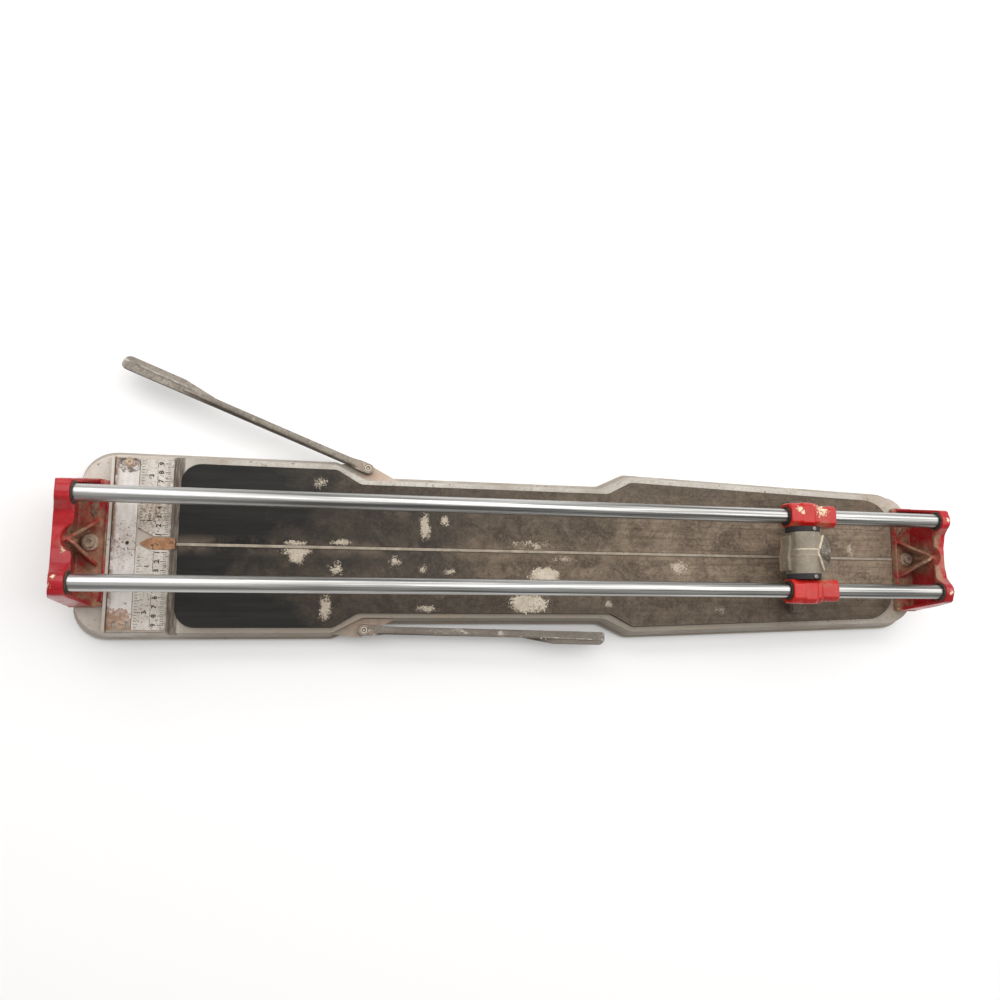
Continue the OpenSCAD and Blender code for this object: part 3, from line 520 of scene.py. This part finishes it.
def printed_ink():
    s = Shader("scale_ink", specular=0.3)
    c = s.mix(s.span(s.noise(300, 4, 0.7), 0.42, 0.66), rgb(44, 39, 36), rgb(104, 94, 84))
    s.bump(s.noise(500, 2), 0.02)
    return s.done(c, 0.7)


def mortar():
    s = Shader("dried_mortar", specular=0.25)
    n = s.noise(110, 7, 0.68)
    c = s.mix(s.span(n, 0.35, 0.65), rgb(188, 174, 156), rgb(220, 209, 192))
    c = s.mix(s.span(s.noise(420, 5, 0.7), 0.56, 0.66, 0, 0.55), c, rgb(164, 149, 128))
    s.bump(n, 0.35)
    s.bump(s.noise(420, 4), 0.15)
    return s.done(c, s.span(n, 0.3, 0.7, 0.8, 0.97))


def side_centres(node):
    """The two centres of a node that has one solid on each side."""
    low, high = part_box(node)
    half = (high.x - low.x) / 2
    x = (low.x + high.x) / 2
    return [(x, high.y - half), (x, low.y + half)]


slider_low, slider_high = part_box("rear_slider")
slider_mid = (slider_low + slider_high) / 2
left_low, left_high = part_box("left_stand")

MATERIAL = {
    "cast_base": cast_base(),
    "bed_rubber": bed_rubber(),
    "rib_steel": earthy(
        "rib_steel", rgb(146, 134, 118), rgb(184, 172, 156), rgb(118, 104, 88), 0.62, 70, rough=(0.5, 0.8),
    ),
    "foot_rubber": earthy("foot_rubber", rgb(34, 34, 34), rgb(50, 49, 47), rgb(84, 76, 68), 0.64, 120),
    "plated_bar": plated_bar(),
    "scale_metal": scale_metal(),
    "rusty_tongue": earthy(
        "rusty_tongue", rgb(140, 98, 68), rgb(186, 142, 108), rgb(94, 64, 46), 0.55, 110, depth=0.5,
    ),
    "red_paint": red_paint(
        "red_paint", rgb(184, 34, 42), rgb(146, 24, 32), 0.70, stand=True,
        chips_at=[
            ((left_low.x + 0.009, left_low.y + 0.022, left_high.z - 0.003), 0.0022),
            ((left_low.x + 0.013, left_low.y + 0.031, left_high.z - 0.001), 0.0016),
            ((left_low.x + 0.012, -0.012, left_high.z - 0.020), 0.0022),
            ((right_high.x - 0.0135, right_high.y - 0.0250, right_high.z - 0.0010), 0.0020),
            ((right_high.x - 0.0145, right_low.y + 0.0240, right_high.z - 0.0010), 0.0024),
        ],
    ),
    "rusty_hardware": earthy(
        "rusty_hardware", rgb(148, 124, 104), rgb(196, 174, 154), rgb(106, 78, 62), 0.58, 150, depth=0.3,
    ),
    "polished_rail": rail_steel(),
    "screw_steel": earthy(
        "screw_steel", rgb(112, 108, 102), rgb(150, 145, 138), rgb(88, 76, 66),
        0.60, 160, 0.7, (0.3, 0.55), 0.05,
    ),
    "worn_screws": ring_finish(
        "worn_screws", rgb(120, 108, 96), rgb(196, 184, 168), side_centres("arm_screws"), 0.0026,
    ),
    "dusty_rubber": earthy(
        "dusty_rubber", rgb(46, 38, 32), rgb(82, 68, 56), rgb(128, 106, 88), 0.60, 150, depth=0.1,
    ),
    "ring_rubber": earthy(
        "ring_rubber", rgb(40, 33, 29), rgb(66, 55, 47), rgb(98, 80, 66), 0.62, 150, depth=0.08,
    ),
    "slider_paint": red_paint(
        "slider_paint", rgb(192, 34, 28), rgb(172, 27, 24), 0.735,
        chips_at=[
            ((slider_mid.x - 0.020, slider_mid.y + 0.006, slider_high.z), 0.0030),
            ((slider_mid.x - 0.016, slider_mid.y + 0.002, slider_high.z), 0.0020),
            ((slider_mid.x + 0.0105, slider_mid.y + 0.0055, slider_high.z), 0.0062),
        ],
        dust_at=[
            ((slider_mid.x + 0.012, slider_low.y, slider_high.z - 0.006), 0.004, 0.013),
            ((slider_mid.x + 0.012, -slider_low.y, slider_high.z - 0.006), 0.004, 0.013),
            ((slider_mid.x - 0.024, slider_low.y, slider_high.z - 0.006), 0.003, 0.009),
        ],
    ),
    "bush_bronze": earthy(
        "bush_bronze", rgb(150, 118, 64), rgb(182, 148, 88), rgb(108, 82, 48),
        0.62, 150, 0.8, (0.3, 0.5), 0.05,
    ),
    "cheek_plastic": earthy(
        "cheek_plastic", rgb(34, 32, 36), rgb(54, 51, 52), rgb(110, 102, 94), 0.64, 170, depth=0.12,
    ),
    "grey_casting": grey_casting(),
    "holder_steel": earthy(
        "holder_steel", rgb(98, 96, 94), rgb(128, 125, 121), rgb(80, 72, 64),
        0.6, 140, 0.6, (0.35, 0.6), 0.08,
    ),
    "carbide": earthy(
        "carbide", rgb(120, 114, 102), rgb(156, 150, 138), rgb(96, 88, 76),
        0.62, 200, 0.8, (0.25, 0.45), 0.03,
    ),
    "foot_iron": earthy(
        "foot_iron", rgb(84, 75, 66), rgb(112, 101, 88), rgb(142, 126, 108), 0.58, 110, depth=0.2,
    ),
    "pad_rubber": earthy("pad_rubber", rgb(64, 62, 58), rgb(88, 84, 78), rgb(120, 110, 98), 0.62, 140),
    "arm_metal": arm_metal(),
}
INK = printed_ink()
MORTAR = mortar()
CLAY = earthy("clay_dust", rgb(112, 88, 72), rgb(158, 130, 108), rgb(92, 66, 50), 0.6, 120, depth=0.5)


def paint(obj, mat):
    obj.data.materials.clear()
    obj.data.materials.append(mat)


def soften(node, width):
    """Rounds the edges of a carried-over node with modifiers. The width is in mm."""
    o = NODES[node]
    weld = o.modifiers.new("weld", "WELD")
    weld.merge_threshold = 0.00002
    b = o.modifiers.new("bevel", "BEVEL")
    b.width = width * MM
    b.segments = 2
    b.limit_method = "ANGLE"
    b.angle_limit = math.radians(28)
    b.use_clamp_overlap = True
    b.harden_normals = False
    n = o.modifiers.new("normals", "WEIGHTED_NORMAL")
    n.keep_sharp = False
    n.weight = 80


for name, obj in NODES.items():
    paint(obj, MATERIAL[SLOT_OF[name]])


# ---------- mesh helpers ----------

def add(name, mesh, body, mat, replaces=()):
    o = bpy.data.objects.new(name, mesh)
    bpy.context.scene.collection.objects.link(o)
    mesh.materials.clear()
    mesh.materials.append(mat)
    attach(o, body)
    if replaces:
        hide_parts(*replaces)
    return o


def mesh_of(name, verts, faces, smooth=False):
    me = bpy.data.meshes.new(name)
    me.from_pydata([tuple(v) for v in verts], [], [tuple(f) for f in faces])
    me.update()
    if smooth:
        me.polygons.foreach_set("use_smooth", [True] * len(me.polygons))
    return me


def cast_copy(node, name, voxel, rounds, shape=None):
    """Stands a remeshed copy in for a node, with its edges and inner corners rounded as cast ones are."""
    me = NODES[node].data.copy()
    tmp = bpy.data.objects.new(name + "_tmp", me)
    bpy.context.scene.collection.objects.link(tmp)
    bm = bmesh.new()
    bm.from_mesh(me)
    bmesh.ops.remove_doubles(bm, verts=bm.verts, dist=0.00002)
    bm.to_mesh(me)
    bm.free()
    r = tmp.modifiers.new("remesh", "REMESH")
    r.mode = "VOXEL"
    r.voxel_size = voxel * MM
    s = tmp.modifiers.new("smooth", "SMOOTH")
    s.factor = 0.5
    s.iterations = rounds
    graph = bpy.context.evaluated_depsgraph_get()
    out = bpy.data.meshes.new_from_object(tmp.evaluated_get(graph))
    bpy.data.objects.remove(tmp)
    if shape is not None:
        n = len(out.vertices)
        co = np.empty(n * 3)
        out.vertices.foreach_get("co", co)
        co = shape(co.reshape(-1, 3))
        out.vertices.foreach_set("co", co.ravel())
        out.update()
    out.name = name
    out.polygons.foreach_set("use_smooth", [True] * len(out.polygons))
    return add(name, out, BODY_OF[node], MATERIAL[SLOT_OF[node]], [node])


def ripple(points, size_mm, depth_mm, seed):
    """Smooth noise at each point, for lumps in a casting."""
    k = 1 / (size_mm * MM)
    return np.array([noise.noise(Vector(p) * k + Vector((seed, seed, seed))) for p in points]) * depth_mm * MM


def crust(name, spots, floor_z, body, mat, cell, seed, height, grain=55, floor_y=None):
    """Thin dried lumps on a flat face, on a grid of cells of a size in mm and up to a height in mm.

    Each spot is (x, y, half length, half width, amount) in metres. None comes nearer to the
    centreline than floor_y.
    """
    verts, faces = [], []
    for k, (cx, cy, rx, ry, amount) in enumerate(spots):
        step = cell * MM
        nx, ny = int(2.6 * rx / step) + 3, int(2.6 * ry / step) + 3
        gx = (np.arange(nx) - (nx - 1) / 2) * step
        gy = (np.arange(ny) - (ny - 1) / 2) * step
        h = np.zeros((nx, ny))
        for i in range(nx):
            for j in range(ny):
                u, v = gx[i] / rx, gy[j] / ry
                p = Vector((gx[i] * grain, gy[j] * grain, seed * 7.7 + k * 3.3))
                q = Vector((gx[i] * 60, gy[j] * 60, seed * 3.1 + k * 5.3))
                f = noise.fractal(p, 0.6, 2.1, 3) * 0.62 + noise.fractal(q, 0.9, 2.1, 3) * 0.40
                h[i, j] = amount - 0.30 - (u * u + v * v) * 0.70 + f
                if floor_y is not None and abs(cy + gy[j]) < floor_y + 0.0006:
                    h[i, j] = -1
        inside = h > 0
        keep = inside[:-1, :-1] & inside[1:, :-1] & inside[1:, 1:] & inside[:-1, 1:]
        index_top, index_low = {}, {}

        def corner(i, j, top):
            table = index_top if top else index_low
            if (i, j) not in table:
                touching = [(a, b) for a in (i - 1, i) for b in (j - 1, j)]
                full = all(0 <= a < nx - 1 and 0 <= b < ny - 1 and keep[a, b] for a, b in touching)
                rise = min(1.0, h[i, j] * 2.2) * height * MM if full else 0.12 * MM
                z = floor_z + rise if top else floor_z - 0.25 * MM
                table[(i, j)] = len(verts)
                verts.append((cx + gx[i], cy + gy[j], z))
            return table[(i, j)]

        for i in range(nx - 1):
            for j in range(ny - 1):
                if not keep[i, j]:
                    continue
                ring = [(i, j), (i + 1, j), (i + 1, j + 1), (i, j + 1)]
                faces.append([corner(a, b, True) for a, b in ring])
                faces.append([corner(a, b, False) for a, b in reversed(ring)])
                for (a, b), (c, d), (ni, nj) in (
                    (ring[0], ring[1], (i, j - 1)), (ring[1], ring[2], (i + 1, j)),
                    (ring[2], ring[3], (i, j + 1)), (ring[3], ring[0], (i - 1, j)),
                ):
                    open_side = not (0 <= ni < nx - 1 and 0 <= nj < ny - 1 and keep[ni, nj])
                    if open_side:
                        faces.append([corner(a, b, False), corner(c, d, False),
                                      corner(c, d, True), corner(a, b, True)])
    me = mesh_of(name, verts, faces, smooth=True)
    return add(name, me, body, mat)


def boxes(name, items, body, mat):
    """One mesh of flat boxes, each (x0, x1, y0, y1, z0, z1) in metres."""
    verts, faces = [], []
    for x0, x1, y0, y1, z0, z1 in items:
        n = len(verts)
        verts += [(x, y, z) for z in (z0, z1) for x, y in ((x0, y0), (x1, y0), (x1, y1), (x0, y1))]
        faces += [[n + k for k in f] for f in (
            (3, 2, 1, 0), (4, 5, 6, 7), (0, 1, 5, 4), (1, 2, 6, 5), (2, 3, 7, 6), (3, 0, 4, 7))]
    return add(name, mesh_of(name, verts, faces), body, mat)


# ---------- base: edges, scale marks, splashes ----------

for node, width in {
    "base_casting": 0.9, "rear_pad": 0.7, "front_pad": 0.7, "breaking_rib": 0.5, "foot_strips": 1.0,
    "fence_screws": 0.3,
    "centre_tongue": 0.7, "stand_washers": 0.4, "stand_bolts": 0.5, "stand_nuts": 0.4,
    "rail_screws": 0.4, "rail_bumpers": 0.5, "slider_bushes": 0.3, "wiper_rings": 0.6,
    "rear_cheek": 0.8, "front_cheek": 0.8, "cheek_screws": 0.25, "wheel_holder": 0.5,
    "holder_screw": 0.3, "wheel_axle": 0.3, "breaker_foot": 1.0, "foot_screws": 0.3,
    "breaker_pads": 0.6, "arm_washers": 0.15, "arm_screws": 0.5,
}.items():
    soften(node, width)

plate_low, plate_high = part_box("rear_scale_plate")
ink_z = plate_high.z
marks = []


def mark(x0, x1, y, wide):
    """One tick across the plate, wide mm along Y."""
    marks.append((x0, x1, y - wide * MM / 2, y + wide * MM / 2, ink_z - 0.0003, ink_z + 0.00008))


right_x = plate_high.x - 0.0028
split_x = plate_low.x + 0.0185
for k in range(-47, 48):
    y = k * 0.002
    if abs(y) < 0.009:
        continue
    if k % 5 == 0:
        mark(right_x - 0.0060, right_x, y, 0.75)
    else:
        mark(right_x - 0.0034, right_x, y, 0.5)
for k in range(-29, 30):
    y = k * INCH / 8
    if abs(y) < 0.013:
        continue
    length = 0.0065 if k % 8 == 0 else 0.0045 if k % 4 == 0 else 0.0028
    mark(plate_low.x + 0.002, plate_low.x + 0.002 + length, y, 0.55)
random.seed(3)
y = -plate_high.y + 0.002
while y < plate_high.y - 0.004:
    run = random.uniform(0.003, 0.008)
    if abs(y) > 0.016:
        marks.append((split_x - 0.00025, split_x + 0.00025, y, y + run, ink_z - 0.0003, ink_z + 0.00006))
    y += run + random.uniform(0.0006, 0.002)
boxes("scale_marks", marks, "base", INK)


def digits(name, items, size):
    """Numbers lying on the plates, read from the carriage's end: their tops point to the scale end."""
    parts = []
    for text, x, y in items:
        curve = bpy.data.curves.new(name, "FONT")
        curve.body = text
        curve.size = size
        curve.extrude = 0.00012
        curve.offset = 0.00027
        curve.align_x, curve.align_y = "CENTER", "CENTER"
        curve.resolution_u = 3
        o = bpy.data.objects.new(name, curve)
        bpy.context.scene.collection.objects.link(o)
        o.matrix_world = Matrix.Translation((x, y, ink_z)) @ Matrix.Rotation(math.pi / 2, 4, "Z")
        bpy.context.view_layer.update()
        me = bpy.data.meshes.new_from_object(o.evaluated_get(bpy.context.evaluated_depsgraph_get()))
        me.transform(o.matrix_world)
        bpy.data.objects.remove(o)
        parts.append(me)
    bm = bmesh.new()
    for me in parts:
        bm.from_mesh(me)
    bmesh.ops.remove_doubles(bm, verts=bm.verts, dist=0.000002)
    whole = bpy.data.meshes.new(name)
    bm.to_mesh(whole)
    bm.free()
    return add(name, whole, "base", INK)


digits("scale_centimetres",
       [(str(n), right_x - 0.0098, side * n * 0.01) for side in (-1, 1) for n in range(1, 10)], 0.0072)
digits("scale_inches",
       [(str(n), plate_low.x + 0.0125, side * n * INCH) for side in (-1, 1) for n in range(1, 4)], 0.0070)

rib_low, rib_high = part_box("breaking_rib")
rib_half = (rib_high.y - rib_low.y) / 2


def on_side(side):
    """The splashes on one pad, cut off where they would reach over the rib."""
    out = []
    for share, y, rx, ry, amount in splashes:
        if amount < 0.1:
            continue
        if side * y > 0:
            out.append((along_bed(share), y, rx, ry, amount))
        elif abs(y) < ry:
            out.append((along_bed(share), side * (rib_half + 0.004), rx * 0.8, 0.003, amount * 0.7))
    return out


for name, side, seed in (("mortar_rear", 1, 3), ("mortar_front", -1, 8)):
    crust(name, on_side(side), bed_top, "base", MORTAR,
          cell=0.5, seed=seed, height=0.40, grain=430, floor_y=rib_half)

# clay that has dried round the bolts, on the stands' feet
foot_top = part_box("stand_washers")[0].z - 0.002
washer_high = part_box("stand_washers")[1].x
bolt_at = washer_high - 0.009
for end, side in (("right", 1), ("left", -1)):
    crust(
        f"clay_{end}",
        [(side * (bolt_at - 0.006), 0.036, 0.007, 0.015, 0.3),
         (side * (bolt_at - 0.006), -0.036, 0.007, 0.016, 0.35),
         (side * (bolt_at + 0.006), 0.017, 0.004, 0.004, 0.3),
         (side * (bolt_at + 0.006), -0.016, 0.004, 0.004, 0.3)],
        foot_top, "base", CLAY, cell=0.8, seed=20 + side, height=1.6,
    )


# ---------- stands, sliders and head as castings ----------

def lumpy(seed):
    """A shape that adds the slight lumps of a casting."""
    return lambda p: p + ripple(p, 9, 0.35, seed)[:, None] * 0.4


cast_copy("left_stand", "stand_casting_left", 0.8, 3, lumpy(4))
cast_copy("right_stand", "stand_casting_right", 0.8, 3, lumpy(9))
cast_copy("rear_slider", "slider_casting_rear", 0.6, 34)
cast_copy("front_slider", "slider_casting_front", 0.6, 34)
body_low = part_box("carriage_body")[0]


def rough_head(p):
    """Grainy all over, and uneven along the skirt at the left."""
    out = p.copy()
    out += ripple(p, 1.6, 0.16, 2)[:, None] * np.array([0.5, 0.5, 0.7])
    skirt = np.clip((body_low.x + 0.008 - p[:, 0]) / 0.006, 0, 1)
    wave = np.array([noise.noise(Vector((0.3, y * 110, 0.7))) for y in p[:, 1]])
    out[:, 0] += skirt * (wave * 0.0034 + 0.0036)
    return out


cast_copy("carriage_body", "carriage_casting", 0.55, 2, rough_head)


# ---------- arms ----------

PADDLE_TIP = 0.285  # from the pivot; the corners beyond it give the arm's direction


def arm_shape(node, edge_side):
    """A shape with the paddle's ridge, the hollow top and a chamfer along one edge, along the arm."""
    joint = next(j for j in frame["joints"] if j["child"] == node)
    pivot = np.array(joint["pos_m"])
    corners = np.array([v.co for v in NODES[node].data.vertices])
    far = corners[np.hypot(corners[:, 0] - pivot[0], corners[:, 1] - pivot[1]) > PADDLE_TIP]
    along = np.array([far[:, 0].mean() - pivot[0], far[:, 1].mean() - pivot[1]])
    along /= np.linalg.norm(along)
    across = np.array([-along[1], along[0]])
    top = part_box(node)[1].z

    def shape(p):
        # u runs along the arm from its pivot and v across it, in mm; only the top face is shaped
        out = p.copy()
        d = p[:, :2] - pivot[:2]
        u, v = d @ along / MM, d @ across / MM
        centre = np.interp(u, [185, 225, 300], [0.0, -1.6, -2.2])
        up = np.clip((p[:, 2] - (top - 0.0012)) / 0.0008, 0, 1)
        swell = np.interp(u, [0, 12, 30, 200, 226, 278, 292], [0, 0, 0.25, 0.35, 0.9, 0.9, 0.1])
        ridge = np.exp(-((v - centre) / 1.1) ** 2) * swell * 1.3
        dish = np.interp(u, [8, 22, 195, 225, 286, 292], [0, 0.5, 0.5, 0.9, 0.9, 0])
        out[:, 2] += up * (ridge - dish) * MM
        slope = np.interp(u, [14, 24, 190, 215], [0, 1, 1, 0]) * np.clip((np.abs(v) - 4.0) / 1.5, 0, 1)
        out[:, 2] -= up * slope * 1.4 * MM
        chamfer = np.interp(u, [10, 18, 215, 240], [0, 1, 1, 0]) * np.clip((edge_side * v - 2.9) / 0.9, 0, 1)
        out[:, 2] -= up * chamfer * 2.6 * MM
        out[:, 2] += up * ripple(p, 6, 0.18, 5)
        out += ripple(p, 2.0, 0.12, 7)[:, None] * np.array([0.4, 0.4, 0.5])
        return out

    return shape


cast_copy("rear_arm", "arm_casting_rear", 0.75, 2, arm_shape("rear_arm", 1))
cast_copy("front_arm", "arm_casting_front", 0.75, 2, arm_shape("front_arm", -1))
arm_low, arm_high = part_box("front_arm")
arm_len = arm_high.x - arm_low.x
crust(
    "mortar_arm",
    [(arm_low.x + 0.52 * arm_len, -0.1050, 0.004, 0.0022, 0.30),
     (arm_low.x + 0.735 * arm_len, -0.1055, 0.013, 0.0045, 0.10)],
    arm_high.z - 0.0006, "front_arm", MORTAR, cell=0.6, seed=31, height=0.8, grain=180,
)


# ---------- floor, light and camera ----------

FLOOR_HALF = 6
floor_corners = [(x * FLOOR_HALF, y * FLOOR_HALF, 0) for x, y in ((-1, -1), (1, -1), (1, 1), (-1, 1))]
floor_me = mesh_of("floor", floor_corners, [(0, 1, 2, 3)])
floor = bpy.data.objects.new("floor", floor_me)
bpy.context.scene.collection.objects.link(floor)
white = bpy.data.materials.new("studio_floor")
white.use_nodes = True
surface = white.node_tree.nodes["Principled BSDF"].inputs
surface["Base Color"].default_value = (0.93, 0.93, 0.93, 1)
surface["Roughness"].default_value = 0.9
surface["Specular IOR Level"].default_value = 0.1
floor_me.materials.append(white)

world = bpy.data.worlds.new("studio")
world.use_nodes = True
sky = world.node_tree
part_of = sky.nodes.new("ShaderNodeSeparateXYZ")
sky.links.new(sky.nodes.new("ShaderNodeTexCoord").outputs["Generated"], part_of.inputs[0])
fade = sky.nodes.new("ShaderNodeMapRange")
fade.interpolation_type = "SMOOTHSTEP"
for socket, value in (("From Min", -0.75), ("From Max", 0.10), ("To Min", 0.30), ("To Max", 0.66)):
    fade.inputs[socket].default_value = value
sky.links.new(part_of.outputs[1], fade.inputs["Value"])
sky.nodes["Background"].inputs["Color"].default_value = (1.0, 0.985, 0.965, 1)
sky.links.new(fade.outputs["Result"], sky.nodes["Background"].inputs["Strength"])
bpy.context.scene.world = world


light = bpy.data.lights.new("key", "AREA")
light.shape = "RECTANGLE"
light.size, light.size_y = 5.0, 2.1
light.energy = 64
key = bpy.data.objects.new("key", light)
bpy.context.scene.collection.objects.link(key)
key.location = (0.35, 0.85, 1.9)
key_towards = Vector((0.1, 0, 0))
key.rotation_euler = (key_towards - key.location).to_track_quat("-Z", "Y").to_euler()

cam_data = bpy.data.cameras.new("camera")
cam = bpy.data.objects.new("camera", cam_data)
bpy.context.scene.collection.objects.link(cam)
right_axis = Vector((0.97731, 0.005746, 0.21177))
up_axis = Vector((-0.029133, 0.99378, 0.10749))
back_axis = Vector((-0.20983, -0.11122, 0.97139))
camera_at = (-0.23143, -0.06634, 0.94569)
turn = Matrix((right_axis, up_axis, back_axis)).transposed()
cam.matrix_world = Matrix.Translation(camera_at) @ turn.to_4x4()
cam_data.sensor_width = 36
cam_data.lens = 27.26
cam_data.shift_x = -0.0146
cam_data.shift_y = 0.0209
cam_data.clip_start = 0.01
cam_data.clip_end = 50
bpy.context.scene.camera = cam

bpy.context.scene.view_settings.view_transform = "Standard"
bpy.context.scene.view_settings.look = "None"
